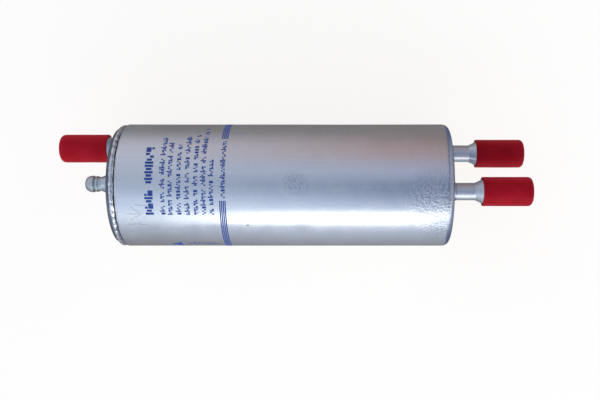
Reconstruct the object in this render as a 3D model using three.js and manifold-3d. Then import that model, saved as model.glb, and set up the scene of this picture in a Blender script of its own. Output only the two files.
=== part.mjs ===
// In-line fuel filter with a built-in pressure regulator.
// Millimetres. +X runs along the can from the lid to the closed end, +Z is up,
// and the origin is on the can's axis, halfway along the body.
import * as THREE from "three";
import { mergeVertices } from "three/addons/utils/BufferGeometryUtils.js";
import Module from "manifold-3d";

const wasm = await Module();
wasm.setup();

// ---- Driving dimensions ----

const GAP = 0.1; // between turned pieces on one axis
const CUT_GAP = 0.3; // between a drilled hole and what passes through it
const MERGE = 1e-4; // vertices closer than this are one

const CAN = {
  radius: 29,
  wall: 1.2,
  open: -73.5,
  closed: 77.7,
  endWall: 1.5,
  shoulder: 3,
  innerCorner: 2,
  recessRadius: 22.8,
  recessDepth: 0.4,
};
const CAN_BORE = CAN.radius - CAN.wall;
const CAN_FLOOR = CAN.closed - CAN.recessDepth;
const CAN_INNER_END = CAN_FLOOR - CAN.endWall;

const LID = {
  rimEnd: -77.7,
  rimWidth: 1.2,
  rimRadius: 27.2,
  rimChamfer: 0.3,
  faceRadius: 25.2,
  recessDepth: 0.8,
  sheet: 1.5,
  spigotRadius: CAN_BORE - CUT_GAP,
  spigotEnd: -68,
  innerCorner: 1,
};
const LID_FLOOR = LID.rimEnd + LID.recessDepth;
const LID_INNER = LID_FLOOR + LID.sheet;

const BEAD = { height: 1.15 };

// Ports, each at a radius from the can's axis and an angle from +Y towards +Z.
const PORTS = {
  inlet: { radius: 15.8, angle: -16.4 },
  back: { radius: 15.2, angle: 101.3 },
  outlet: { radius: 18.05, angle: -12.8 },
  reference: { radius: 17, angle: 88.3 },
};

// A stub is 8 mm tube that swells to a land and ends in a hose barb.
const STUB = {
  radius: 4,
  bore: 2.5,
  inside: 5.3,
  cone: 3.4,
  land: 3,
  landRadius: 5.6,
  barbRoot: 4.1,
  barbPeak: 4.7,
  barbFace: 0.2,
  barbLength: 3,
  barbPitch: 6,
  barbs: 2,
  barbStart: 5,
  beyondCone: 20.3,
  tipChamfer: 0.6,
};
const NECK = { closedEnd: 11, lidEnd: 4.4 };
const COLLAR = { base: 6.6, height: 2.2, hollow: 1 };

const NIPPLE = {
  shank: 3.25,
  shankEnd: 6.2,
  ring: 3.6,
  ringStart: 6.7,
  ringEnd: 7.6,
  groove: 3.1,
  grooveStart: 8,
  noseStart: 8.6,
  nose: 3.8,
  tip: 12.3,
  mouth: 1.7,
  bore: 1.4,
  passage: 3,
  spigot: 2,
  spigotLength: 3.4,
};
const NIPPLE_COLLAR = { base: 6, height: 4.6, hollow: 0.25 };

const CAP = {
  radius: 6.775,
  length: 23.3,
  bore: 5.75,
  boreDepth: 21.8,
  overlap: 0.2,
  tipRound: 2,
  tipDome: 0.4,
  leadIn: 0.3,
};

const MEDIA = {
  start: -31.5,
  end: 42.5,
  outer: 24.4,
  inner: 10.1,
  paper: 0.55,
  pleats: 24,
  foldWidth: 0.75,
};
const CORE = {
  outer: 9.7,
  inner: 8.9,
  slotLength: 9,
  slotWidth: 4,
  slotPitch: 14,
  slotRows: 5,
  slotPlanes: 2,
};
const DISC = { radius: 25.4, plate: 1.6, lip: 3.5, lipWall: 0.7, frontHole: 8, rearHole: 7.3 };
const ELEMENT_GASKET = { inner: 10, outer: 13.5 };
const REGULATOR_GASKET = { inner: 9.3, outer: 12.3 };
const GROMMET = { bore: 4.1, flangeRadius: 8.6, flange: 1.1, sleeve: 3 };

const PARTITION = {
  start: -36.3,
  plate: 1.5,
  rim: 4,
  rimInner: 24.4,
  rimOuter: 27.4,
  grooveFloor: 25.7,
  grooveWidth: 2.2,
};
const PARTITION_END = PARTITION.start + PARTITION.plate;
const ORING = { radius: 26.83, wire: 0.85 };

const REGULATOR = {
  rim: -47, // middle of the clamped diaphragm
  diaphragm: 0.8,
  flangeRadius: 16.2,
  crimpRadius: 17.3,
  crimpLap: 0.6,
  sheet: 1,
  coverRadius: 13.6,
  coverCorner: 2,
  coverTop: -58.5,
  bodyRadius: 12.5,
  baseStart: -38.3,
  seatFace: -43,
  seatEnd: -30,
};
const FLOW_HOLES = { count: 6, radius: 1.9, circle: 7 };
const WINDOW = { length: 4, width: 6 };
const LIFT = 1; // valve travel
const DIAPHRAGM = {
  hole: 2.9,
  flat: 8.6,
  clampRadius: 12.2,
  radius: 15.9,
  roll: 1.5,
};
const CUP = { radius: 8.6, wall: 0.7, plate: 0.9, height: 3 };
const STEM = { radius: 2.6, headRadius: 4, head: 1, headChamfer: 0.4 };
const VALVE_DISC = { radius: 4.6, start: -44.4 };
const BACKING_RADIUS = 8.2;
const VALVE_SPRING = { radius: 6.4, wire: 1.1, turns: 4, deadPitch: 1.45, sides: 5, stepsPerTurn: 12 };
const HOLD_SPRING = { radius: 23.6, wire: 1.6, turns: 4, deadPitch: 2.2, sides: 6, stepsPerTurn: 14 };
const ADJUSTER = { radius: 3, bossRadius: 5.1, boss: 1.4, proud: 1.4, slotWidth: 1, slotDepth: 0.8 };
const COVER_PORT = { radius: 9.5, spigot: 2, bore: 1.2, length: 3.4 };
const LOCK_RING = { outer: 5, thickness: 0.8 };

const RETURN_TUBE = { radius: 4, bore: 2.5, start: -29.7, bendStart: 47.5, bendEnd: 65.5, end: 71.7 };
const SLEEVE = { bore: 4.1, radius: 5.2, length: 7 };
const HOSE = { radius: 2.9, bore: 2.25 };

const STEPS = { can: 40, regulator: 24, element: 24, stub: 16, small: 12, tube: 8 };
const STEEL = { metalness: 0.9, roughness: 0.4 };

// ---- Helpers ----

const radians = THREE.MathUtils.degToRad;

function portCentre({ radius, angle }) {
  return [radius * Math.cos(radians(angle)), radius * Math.sin(radians(angle))];
}

// Points [x, radius] on a round or elliptical arc, its angles measured from +X towards the rim.
function arc(x, radius, reachX, reachR, from, to, steps) {
  return Array.from({ length: steps + 1 }, (_, i) => {
    const angle = radians(from + ((to - from) * i) / steps);
    return [x + reachX * Math.cos(angle), radius + reachR * Math.sin(angle)];
  });
}

// A solid turned about X from [x, radius] points. A profile that starts off the axis is a closed ring.
function turned(profile, steps) {
  const points = profile.map(([x, radius]) => new THREE.Vector2(radius, x));
  if (profile[0][1] > 0) {
    points.push(points[0].clone());
  }
  if (THREE.ShapeUtils.area(points) < 0) {
    points.reverse();
  }
  return new THREE.LatheGeometry(points, steps).rotateZ(-Math.PI / 2);
}

function ring(start, end, inner, outer, steps) {
  return turned([[start, inner], [start, outer], [end, outer], [end, inner]], steps);
}

function gasket(start, end, { inner, outer }) {
  return ring(start, end, inner, outer, STEPS.regulator);
}

function rod(start, end, radius, steps, [y, z] = [0, 0]) {
  return turned([[start, 0], [start, radius], [end, radius], [end, 0]], steps).translate(0, y, z);
}

function polygon(radius, sides, Kind) {
  const corner = (i) => (2 * Math.PI * i) / sides;
  return new Kind(
    Array.from({ length: sides }, (_, i) => {
      return new THREE.Vector2(radius * Math.cos(corner(i)), radius * Math.sin(corner(i)));
    }),
  );
}

function tubeAlong(curve, radius, bore, sides, steps) {
  const section = polygon(radius, sides, THREE.Shape);
  if (bore > 0) {
    section.holes.push(polygon(bore, sides, THREE.Path));
  }
  return new THREE.ExtrudeGeometry(section, { steps, extrudePath: curve, curveSegments: 1 });
}

// A line along X whose distance from the axis changes smoothly between two stations.
class OffsetLine extends THREE.Curve {
  constructor(start, end, bendStart, bendEnd, from, to) {
    super();
    Object.assign(this, { start, end, bendStart, bendEnd, from, to });
  }

  getPoint(t) {
    const x = THREE.MathUtils.lerp(this.start, this.end, t);
    const share = THREE.MathUtils.smootherstep(x, this.bendStart, this.bendEnd);
    const y = THREE.MathUtils.lerp(this.from[0], this.to[0], share);
    const z = THREE.MathUtils.lerp(this.from[1], this.to[1], share);
    return new THREE.Vector3(x, y, z);
  }
}

// A compression spring's wire: its first and last turn lie almost flat.
class SpringLine extends THREE.Curve {
  constructor(start, end, { radius, wire, turns, deadPitch }) {
    super();
    Object.assign(this, { start: start + wire / 2, end: end - wire / 2, radius, turns, deadPitch });
  }

  getPoint(t) {
    const turn = t * this.turns;
    const live = this.end - this.start - 2 * this.deadPitch;
    const middle = (THREE.MathUtils.clamp(turn, 1, this.turns - 1) - 1) / (this.turns - 2);
    const dead = Math.min(turn, 1) + Math.max(turn - this.turns + 1, 0);
    const angle = 2 * Math.PI * turn;
    return new THREE.Vector3(
      this.start + live * middle + this.deadPitch * dead,
      this.radius * Math.cos(angle),
      this.radius * Math.sin(angle),
    );
  }
}

function spring(start, end, size) {
  const steps = size.turns * size.stepsPerTurn;
  return tubeAlong(new SpringLine(start, end, size), size.wire / 2, 0, size.sides, steps);
}

function solidOf(geometry) {
  const bare = geometry.clone();
  bare.deleteAttribute("normal");
  bare.deleteAttribute("uv");
  const merged = mergeVertices(bare, MERGE);
  const index = merged.index.array;
  const triangles = [];
  for (let i = 0; i < index.length; i += 3) {
    const [a, b, c] = [index[i], index[i + 1], index[i + 2]];
    if (a !== b && b !== c && a !== c) {
      triangles.push(a, b, c);
    }
  }
  const mesh = new wasm.Mesh({
    numProp: 3,
    vertProperties: merged.attributes.position.array,
    triVerts: Uint32Array.from(triangles),
  });
  return new wasm.Manifold(mesh);
}

function geometryOf(solid) {
  const mesh = solid.getMesh();
  const geometry = new THREE.BufferGeometry();
  geometry.setAttribute("position", new THREE.BufferAttribute(mesh.vertProperties, 3));
  geometry.setIndex(new THREE.BufferAttribute(mesh.triVerts, 1));
  geometry.computeVertexNormals();
  return geometry;
}

function cut(geometry, cutters) {
  return geometryOf(cutters.reduce((solid, cutter) => solid.subtract(solidOf(cutter)), solidOf(geometry)));
}

const filter = new THREE.Group();

function material(color, { metalness = 0, roughness = 0.5 } = {}) {
  return new THREE.MeshStandardMaterial({ color, metalness, roughness });
}

const MATERIALS = {
  can: material(0xb4b8c4, { metalness: 0.9, roughness: 0.35 }),
  lid: material(0xa9adb6, { metalness: 0.9, roughness: 0.4 }),
  weld: material(0x9aa4ae, { metalness: 0.9, roughness: 0.3 }),
  stub: material(0xb9bcc4, { metalness: 0.95, roughness: 0.25 }),
  cap: material(0xa3182a, { roughness: 0.4 }),
  paper: material(0xd9b36a, { roughness: 0.9 }),
  tinned: material(0x9fa3a6, STEEL),
  zinc: material(0xc2b27a, STEEL),
  springSteel: material(0x6f7378, STEEL),
  brass: material(0xb99a4a, { metalness: 0.9, roughness: 0.35 }),
  rubber: material(0x1d1d1f, { roughness: 0.8 }),
  sealRubber: material(0x2b3a2c, { roughness: 0.7 }),
};

function place(name, geometry, finish, { x = 0, port = null, turned: half = false } = {}) {
  const mesh = new THREE.Mesh(geometry, finish);
  const [y, z] = port ? portCentre(port) : [0, 0];
  mesh.name = name;
  mesh.position.set(x, y, z);
  mesh.rotation.z = half ? Math.PI : 0;
  filter.add(mesh);
}

// ---- Can, lid and seam ----

function canShell() {
  const corner = CAN.innerCorner;
  const shoulder = CAN.shoulder;
  const profile = [
    [CAN_INNER_END, 0],
    ...arc(CAN_INNER_END - corner, CAN_BORE - corner, corner, corner, 0, 90, 2),
    [CAN.open, CAN_BORE],
    [CAN.open, CAN.radius],
    ...arc(CAN.closed - shoulder, CAN.radius - shoulder, shoulder, shoulder, 90, 0, 4),
    [CAN.closed, CAN.recessRadius + CAN.recessDepth],
    [CAN_FLOOR, CAN.recessRadius],
    [CAN_FLOOR, 0],
  ];
  const holes = [PORTS.inlet, PORTS.back].map((port) => {
    return rod(CAN_INNER_END - 1, CAN.closed + 1, STUB.radius + CUT_GAP, STEPS.stub, portCentre(port));
  });
  return cut(turned(profile, STEPS.can), holes);
}

function endLid() {
  const rimInner = LID.spigotRadius - LID.sheet;
  const bend = LID.innerCorner;
  const profile = [
    [LID_FLOOR, 0],
    [LID_FLOOR, LID.faceRadius],
    ...arc(LID_FLOOR, LID.faceRadius + LID.recessDepth, LID.recessDepth, LID.recessDepth, 270, 180, 2),
    [LID.rimEnd, LID.rimRadius - LID.rimChamfer],
    [LID.rimEnd + LID.rimChamfer, LID.rimRadius],
    [LID.rimEnd + LID.rimWidth, LID.rimRadius],
    [LID.rimEnd + LID.rimWidth, LID.spigotRadius],
    [LID.spigotEnd, LID.spigotRadius],
    [LID.spigotEnd, rimInner],
    ...arc(LID_INNER + bend, rimInner - bend, bend, bend, 90, 180, 1),
    [LID_INNER, 0],
  ];
  const holes = [
    rod(LID.rimEnd - 1, LID_INNER + 1, STUB.radius + CUT_GAP, STEPS.stub, portCentre(PORTS.outlet)),
    rod(LID.rimEnd - 1, LID_INNER + 1, NIPPLE.passage + CUT_GAP, STEPS.small, portCentre(PORTS.reference)),
  ];
  return cut(turned(profile, STEPS.can), holes);
}

function seamBead() {
  const start = LID.rimEnd + LID.rimWidth + CUT_GAP;
  const end = CAN.open - CUT_GAP;
  const middle = (start + end) / 2;
  return turned(arc(middle, CAN_BORE, middle - start, BEAD.height, 180, 0, 6), STEPS.can);
}

// ---- Ports ----

// A stub along +X with its face at x = 0.
function stub(neck) {
  const coneEnd = neck + STUB.cone;
  const tip = coneEnd + STUB.beyondCone;
  const barbs = [];
  for (let i = 0; i < STUB.barbs; i += 1) {
    const start = coneEnd + STUB.barbStart + i * STUB.barbPitch;
    barbs.push([start, STUB.barbRoot], [start + STUB.barbFace, STUB.barbPeak]);
    barbs.push([start + STUB.barbLength, STUB.barbRoot]);
  }
  return turned(
    [
      [-STUB.inside, STUB.bore],
      [-STUB.inside, STUB.radius],
      [neck, STUB.radius],
      [coneEnd, STUB.landRadius],
      [coneEnd + STUB.land, STUB.landRadius],
      [coneEnd + STUB.land, STUB.barbRoot],
      ...barbs,
      [tip - STUB.tipChamfer, STUB.barbRoot],
      [tip, STUB.barbRoot - STUB.tipChamfer],
      [tip, STUB.bore],
    ],
    STEPS.stub,
  );
}

function referenceNipple() {
  return turned(
    [
      [-LID.sheet - NIPPLE.spigotLength, NIPPLE.bore],
      [-LID.sheet - NIPPLE.spigotLength, NIPPLE.spigot],
      [-LID.sheet, NIPPLE.spigot],
      [-LID.sheet, NIPPLE.passage],
      [GAP, NIPPLE.passage],
      [GAP, NIPPLE.shank],
      [NIPPLE.shankEnd, NIPPLE.shank],
      [NIPPLE.ringStart, NIPPLE.ring],
      [NIPPLE.ringEnd, NIPPLE.ring],
      [NIPPLE.grooveStart, NIPPLE.groove],
      ...arc(
        NIPPLE.noseStart,
        NIPPLE.mouth,
        NIPPLE.tip - NIPPLE.noseStart,
        NIPPLE.nose - NIPPLE.mouth,
        90,
        0,
        4,
      ),
      [NIPPLE.tip, NIPPLE.bore],
    ],
    STEPS.stub,
  );
}

// A fillet of weld round a neck, its base at x = 0. hollow runs from 0, a cone, to 1, a quarter ellipse.
function weldCollar({ base, height, hollow }, neck) {
  const top = neck + GAP;
  const steps = 3;
  const slope = Array.from({ length: steps + 1 }, (_, i) => {
    const angle = (Math.PI / 2) * (i / steps);
    const across = THREE.MathUtils.lerp(i / steps, Math.sin(angle), hollow);
    const along = THREE.MathUtils.lerp(i / steps, 1 - Math.cos(angle), hollow);
    return [height * along, THREE.MathUtils.lerp(base, top + GAP, across)];
  });
  return turned([[0, top], ...slope, [height, top]], STEPS.stub);
}

// A protective cap along +X with its rim at x = 0.
function cap() {
  const round = CAP.tipRound;
  const flat = CAP.length - CAP.tipDome;
  return turned(
    [
      [CAP.boreDepth, 0],
      [CAP.boreDepth, CAP.bore],
      [CAP.leadIn, CAP.bore],
      [0, CAP.bore + CAP.leadIn],
      [0, CAP.radius],
      ...arc(flat - round, CAP.radius - round, round, round, 90, 0, 3),
      [CAP.length, 0],
    ],
    STEPS.stub,
  );
}

function addPorts() {
  const rear = { x: CAN_FLOOR, turned: false };
  const front = { x: LID_FLOOR, turned: true };
  const ports = [
    ["inlet", PORTS.inlet, rear, NECK.closedEnd],
    ["return", PORTS.back, rear, NECK.closedEnd],
    ["outlet", PORTS.outlet, front, NECK.lidEnd],
  ];
  for (const [name, port, side, neck] of ports) {
    const outward = side.turned ? -1 : 1;
    const rim = neck + STUB.cone - CAP.overlap;
    place(`${name}_stub`, stub(neck), MATERIALS.stub, { ...side, port });
    place(`${name}_stub_weld`, weldCollar(COLLAR, STUB.radius), MATERIALS.weld, {
      ...side,
      x: side.x + outward * GAP,
      port,
    });
    place(`${name}_cap`, cap(), MATERIALS.cap, { ...side, x: side.x + outward * rim, port });
  }
  place("reference_nipple", referenceNipple(), MATERIALS.stub, { ...front, port: PORTS.reference });
  place("nipple_weld", weldCollar(NIPPLE_COLLAR, NIPPLE.shank), MATERIALS.weld, {
    ...front,
    x: LID_FLOOR - GAP,
    port: PORTS.reference,
  });
}

// ---- Filter element ----

// One edge of the pleated paper: at each fold it has two corners, a little way either side of the fold.
function pleatEdge(crest, root, crestHalf, rootHalf, Kind) {
  const points = [];
  const pitch = (2 * Math.PI) / MEDIA.pleats;
  const crestTurn = crestHalf / crest;
  const rootTurn = rootHalf / root;
  const corner = (radius, angle) => new THREE.Vector2(radius * Math.cos(angle), radius * Math.sin(angle));
  for (let i = 0; i < MEDIA.pleats; i += 1) {
    const crestAngle = i * pitch;
    const rootAngle = crestAngle + pitch / 2;
    points.push(corner(crest, crestAngle - crestTurn), corner(crest, crestAngle + crestTurn));
    points.push(corner(root, rootAngle - rootTurn), corner(root, rootAngle + rootTurn));
  }
  return new Kind(points);
}

function pleatedMedia() {
  const { outer, inner, paper, foldWidth } = MEDIA;
  const near = foldWidth - paper;
  const section = pleatEdge(outer, inner + paper, foldWidth, near, THREE.Shape);
  section.holes.push(pleatEdge(outer - paper, inner, near, foldWidth, THREE.Path));
  const depth = MEDIA.end - MEDIA.start;
  const length = { depth, bevelEnabled: false, curveSegments: 1 };
  return new THREE.ExtrudeGeometry(section, length).rotateY(Math.PI / 2).translate(MEDIA.start, 0, 0);
}

function coreTube() {
  const slots = [];
  for (let row = 0; row < CORE.slotRows; row += 1) {
    for (let plane = 0; plane < CORE.slotPlanes; plane += 1) {
      const x = (MEDIA.start + MEDIA.end) / 2 + (row - (CORE.slotRows - 1) / 2) * CORE.slotPitch;
      const slot = new THREE.BoxGeometry(CORE.slotLength, CORE.slotWidth, 3 * CORE.outer);
      slots.push(slot.rotateX((plane * Math.PI) / CORE.slotPlanes).translate(x, 0, 0));
    }
  }
  return cut(ring(MEDIA.start + GAP, MEDIA.end - GAP, CORE.inner, CORE.outer, STEPS.element), slots);
}

// An end disc folded over the outside of the pleats. into is +1 where the element lies towards +X.
function endDisc(face, into, hole) {
  const lipInner = DISC.radius - DISC.lipWall;
  const profile = [
    [0, hole],
    [0, lipInner],
    [DISC.lip, lipInner],
    [DISC.lip, DISC.radius],
    [-DISC.plate, DISC.radius],
    [-DISC.plate, hole],
  ];
  return turned(profile.map(([x, radius]) => [face + into * x, radius]), STEPS.element);
}

function rearGrommet() {
  const seat = MEDIA.end + CUT_GAP + DISC.plate + GAP;
  return turned(
    [
      [seat - GROMMET.sleeve, GROMMET.bore],
      [seat - GROMMET.sleeve, DISC.rearHole - GAP],
      [seat, DISC.rearHole - GAP],
      [seat, GROMMET.flangeRadius],
      [seat + GROMMET.flange, GROMMET.flangeRadius],
      [seat + GROMMET.flange, GROMMET.bore],
    ],
    STEPS.element,
  );
}

function addElement() {
  const frontFace = MEDIA.start - GAP;
  const rearFace = MEDIA.end + GAP;
  const rearOuter = rearFace + DISC.plate;
  place("pleated_media", pleatedMedia(), MATERIALS.paper);
  place("core_tube", coreTube(), MATERIALS.tinned);
  place("element_front_disc", endDisc(frontFace, 1, DISC.frontHole), MATERIALS.tinned);
  place("element_rear_disc", endDisc(rearFace, -1, DISC.rearHole), MATERIALS.tinned);
  place(
    "element_gasket",
    gasket(PARTITION_END + GAP, frontFace - DISC.plate - GAP, ELEMENT_GASKET),
    MATERIALS.sealRubber,
  );
  place("rear_grommet", rearGrommet(), MATERIALS.rubber);
  place(
    "hold_down_spring",
    spring(rearOuter + CUT_GAP, CAN_INNER_END - CUT_GAP, HOLD_SPRING),
    MATERIALS.springSteel,
  );
}

// ---- Partition between the unfiltered and the filtered side ----

function flowHoles(start, end) {
  return Array.from({ length: FLOW_HOLES.count }, (_, i) => {
    const angle = (2 * Math.PI * i) / FLOW_HOLES.count;
    const centre = [FLOW_HOLES.circle * Math.cos(angle), FLOW_HOLES.circle * Math.sin(angle)];
    return rod(start - 1, end + 1, FLOW_HOLES.radius, STEPS.tube, centre);
  });
}

function partitionPlate() {
  const middle = PARTITION.start + PARTITION.plate / 2;
  const rimStart = middle - PARTITION.rim / 2;
  const rimEnd = middle + PARTITION.rim / 2;
  const grooveStart = middle - PARTITION.grooveWidth / 2;
  const grooveEnd = middle + PARTITION.grooveWidth / 2;
  const plate = turned(
    [
      [PARTITION.start, STUB.radius + CUT_GAP],
      [PARTITION.start, PARTITION.rimInner],
      [rimStart, PARTITION.rimInner],
      [rimStart, PARTITION.rimOuter],
      [grooveStart, PARTITION.rimOuter],
      [grooveStart, PARTITION.grooveFloor],
      [grooveEnd, PARTITION.grooveFloor],
      [grooveEnd, PARTITION.rimOuter],
      [rimEnd, PARTITION.rimOuter],
      [rimEnd, PARTITION.rimInner],
      [PARTITION_END, PARTITION.rimInner],
      [PARTITION_END, STUB.radius + CUT_GAP],
    ],
    STEPS.can,
  );
  return cut(plate, flowHoles(PARTITION.start, PARTITION_END));
}

function partitionSeal() {
  const seal = new THREE.TorusGeometry(ORING.radius, ORING.wire, 6, STEPS.can);
  return seal.rotateY(Math.PI / 2).translate(PARTITION.start + PARTITION.plate / 2, 0, 0);
}

// ---- Return line and reference line ----

function returnTube() {
  const { start, end, bendStart, bendEnd, radius, bore } = RETURN_TUBE;
  const line = new OffsetLine(start, end, bendStart, bendEnd, [0, 0], portCentre(PORTS.back));
  return tubeAlong(line, radius, bore, STEPS.tube, 26);
}

function referenceHose() {
  const start = LID_INNER + CUT_GAP;
  const bendStart = LID_INNER + NIPPLE.spigotLength;
  const bendEnd = REGULATOR.coverTop - COVER_PORT.length;
  const end = REGULATOR.coverTop - CUT_GAP;
  const from = portCentre(PORTS.reference);
  const to = portCentre({ ...PORTS.reference, radius: COVER_PORT.radius });
  const line = new OffsetLine(start, end, bendStart, bendEnd, from, to);
  return tubeAlong(line, HOSE.radius, HOSE.bore, STEPS.tube, 14);
}

function addLines() {
  const half = SLEEVE.length / 2;
  const sleeve = ring(-half, half, SLEEVE.bore, SLEEVE.radius, STEPS.stub);
  const frontJoint = (REGULATOR.seatEnd + RETURN_TUBE.start) / 2;
  place("return_tube", returnTube(), MATERIALS.tinned);
  const rearJoint = { x: RETURN_TUBE.end, port: PORTS.back };
  place("return_tube_front_sleeve", sleeve, MATERIALS.rubber, { x: frontJoint });
  place("return_tube_rear_sleeve", sleeve.clone(), MATERIALS.rubber, rearJoint);
  place("reference_hose", referenceHose(), MATERIALS.rubber);
}

// ---- Pressure regulator ----

function regulatorCover() {
  const { sheet, coverRadius, coverCorner, coverTop, flangeRadius, crimpRadius, crimpLap } = REGULATOR;
  const innerCorner = coverCorner - sheet;
  const rim = REGULATOR.rim - REGULATOR.diaphragm / 2 - GAP;
  const crimpEnd = REGULATOR.rim + REGULATOR.diaphragm / 2 + 3 * GAP + sheet;
  const shell = turned(
    [
      [coverTop, 0],
      ...arc(coverTop + coverCorner, coverRadius - coverCorner, coverCorner, coverCorner, 180, 90, 3),
      [rim - sheet, coverRadius],
      [rim - sheet, crimpRadius],
      [crimpEnd + sheet / 2, crimpRadius],
      [crimpEnd + sheet / 2, flangeRadius - crimpLap],
      [crimpEnd, flangeRadius - crimpLap],
      [crimpEnd, flangeRadius + GAP],
      [rim, flangeRadius + GAP],
      [rim, coverRadius - sheet],
      ...arc(coverTop + coverCorner, coverRadius - coverCorner, innerCorner, innerCorner, 90, 180, 3),
      [coverTop + sheet, 0],
    ],
    STEPS.regulator,
  );
  const port = portCentre({ ...PORTS.reference, radius: COVER_PORT.radius });
  const spigotEnd = coverTop - COVER_PORT.length;
  const spigot = rod(spigotEnd, coverTop + sheet / 2, COVER_PORT.spigot, STEPS.small, port);
  const bore = rod(spigotEnd - 1, coverTop + 2 * sheet, COVER_PORT.bore, STEPS.tube, port);
  const plugHole = rod(coverTop - 1, coverTop + 2 * sheet, ADJUSTER.radius + CUT_GAP, STEPS.small);
  const body = solidOf(shell).add(solidOf(spigot));
  return geometryOf(body.subtract(solidOf(bore)).subtract(solidOf(plugHole)));
}

function regulatorBody() {
  const { sheet, bodyRadius, baseStart, flangeRadius } = REGULATOR;
  const rim = REGULATOR.rim + REGULATOR.diaphragm / 2 + GAP;
  const shell = turned(
    [
      [rim, bodyRadius - sheet],
      [rim, flangeRadius],
      [rim + sheet, flangeRadius],
      [rim + sheet, bodyRadius],
      [baseStart + sheet, bodyRadius],
      [baseStart + sheet, STUB.radius + CUT_GAP],
      [baseStart, STUB.radius + CUT_GAP],
      [baseStart, bodyRadius - sheet],
    ],
    STEPS.regulator,
  );
  const windows = [0, 1].map((i) => {
    const box = new THREE.BoxGeometry(WINDOW.length, WINDOW.width, 3 * bodyRadius);
    return box.rotateX((i * Math.PI) / 2).translate((rim + sheet + baseStart) / 2, 0, 0);
  });
  return cut(shell, [...windows, ...flowHoles(baseStart, baseStart + sheet)]);
}

// Its middle rests LIFT nearer the seat than its clamped edge, and a rolled ring joins the two.
function diaphragm() {
  const half = REGULATOR.diaphragm / 2;
  const { hole, flat, clampRadius, radius, roll } = DIAPHRAGM;
  const steps = 4;
  const line = Array.from({ length: steps + 1 }, (_, i) => {
    const share = i / steps;
    const drop = LIFT * (1 - THREE.MathUtils.smoothstep(share, 0, 1));
    const hump = roll * Math.sin(Math.PI * share) ** 2;
    return [REGULATOR.rim + drop - hump, THREE.MathUtils.lerp(flat, clampRadius, share)];
  });
  const path = [[REGULATOR.rim + LIFT, hole], ...line, [REGULATOR.rim, radius]];
  const upper = path.map(([x, r]) => [x - half, r]);
  const lower = path.map(([x, r]) => [x + half, r]).reverse();
  return turned([...upper, ...lower], STEPS.regulator);
}

const MIDDLE_START = REGULATOR.rim + LIFT - REGULATOR.diaphragm / 2 - GAP;
const MIDDLE_END = MIDDLE_START + REGULATOR.diaphragm + 2 * GAP;
const CUP_FLOOR = MIDDLE_START - CUP.plate;

function springCup() {
  return turned(
    [
      [CUP_FLOOR, STEM.radius + GAP],
      [CUP_FLOOR, CUP.radius - CUP.wall],
      [MIDDLE_START - CUP.height, CUP.radius - CUP.wall],
      [MIDDLE_START - CUP.height, CUP.radius],
      [MIDDLE_START, CUP.radius],
      [MIDDLE_START, STEM.radius + GAP],
    ],
    STEPS.regulator,
  );
}

function backingPlate() {
  return ring(MIDDLE_END, VALVE_DISC.start - GAP, STEM.radius + GAP, BACKING_RADIUS, STEPS.regulator);
}

function valveDisc() {
  return rod(VALVE_DISC.start, REGULATOR.seatFace - GAP, VALVE_DISC.radius, STEPS.small);
}

function valveStem() {
  const head = CUP_FLOOR - GAP;
  return turned(
    [
      [head - STEM.head, 0],
      [head - STEM.head, STEM.headRadius - STEM.headChamfer],
      [head - STEM.head + STEM.headChamfer, STEM.headRadius],
      [head, STEM.headRadius],
      [head, STEM.radius],
      [VALVE_DISC.start - GAP, STEM.radius],
      [VALVE_DISC.start - GAP, 0],
    ],
    STEPS.small,
  );
}

function springAdjuster() {
  const inner = REGULATOR.coverTop + REGULATOR.sheet + GAP;
  const top = REGULATOR.coverTop - ADJUSTER.proud;
  const plug = turned(
    [
      [top, 0],
      [top, ADJUSTER.radius],
      [inner, ADJUSTER.radius],
      [inner, ADJUSTER.bossRadius],
      [inner + ADJUSTER.boss, ADJUSTER.bossRadius],
      [inner + ADJUSTER.boss, 0],
    ],
    STEPS.small,
  );
  const slot = new THREE.BoxGeometry(2 * ADJUSTER.slotDepth, ADJUSTER.slotWidth, 3 * ADJUSTER.radius);
  return cut(plug, [slot.translate(top, 0, 0)]);
}

function addRegulator() {
  const { baseStart, sheet, seatFace, seatEnd, coverTop } = REGULATOR;
  const springStart = coverTop + sheet + CUT_GAP;
  const lockStart = PARTITION_END + GAP;
  place("regulator_cover", regulatorCover(), MATERIALS.zinc);
  place("regulator_body", regulatorBody(), MATERIALS.zinc);
  place("diaphragm", diaphragm(), MATERIALS.rubber);
  place("spring_adjuster", springAdjuster(), MATERIALS.brass);
  place("regulator_spring", spring(springStart, CUP_FLOOR - GAP, VALVE_SPRING), MATERIALS.springSteel);
  place("spring_cup", springCup(), MATERIALS.zinc);
  place("backing_plate", backingPlate(), MATERIALS.zinc);
  place("valve_stem", valveStem(), MATERIALS.brass);
  place("valve_disc", valveDisc(), MATERIALS.sealRubber);
  place("valve_seat_tube", ring(seatFace, seatEnd, STUB.bore, STUB.radius, STEPS.stub), MATERIALS.brass);
  place(
    "regulator_gasket",
    gasket(baseStart + sheet + GAP, PARTITION.start - GAP, REGULATOR_GASKET),
    MATERIALS.sealRubber,
  );
  place(
    "regulator_lock_ring",
    ring(lockStart, lockStart + LOCK_RING.thickness, STUB.radius + GAP, LOCK_RING.outer, STEPS.stub),
    MATERIALS.springSteel,
  );
}

// ---- Assembly ----

place("can_shell", canShell(), MATERIALS.can);
place("end_lid", endLid(), MATERIALS.lid);
place("seam_weld_bead", seamBead(), MATERIALS.weld);
addPorts();
addElement();
place("partition_plate", partitionPlate(), MATERIALS.tinned);
place("partition_o_ring", partitionSeal(), MATERIALS.rubber);
addLines();
addRegulator();

export default filter;
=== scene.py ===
"""Looks for an in-line fuel filter with a built-in pressure regulator.

The tables hold millimetres and degrees. Angles round the can start at the top, +Z, and grow
towards +Y. Meshes are scaled to metres as they are made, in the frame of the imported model.
"""

import math
import random

import bmesh
import bpy
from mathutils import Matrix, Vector, noise


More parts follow.
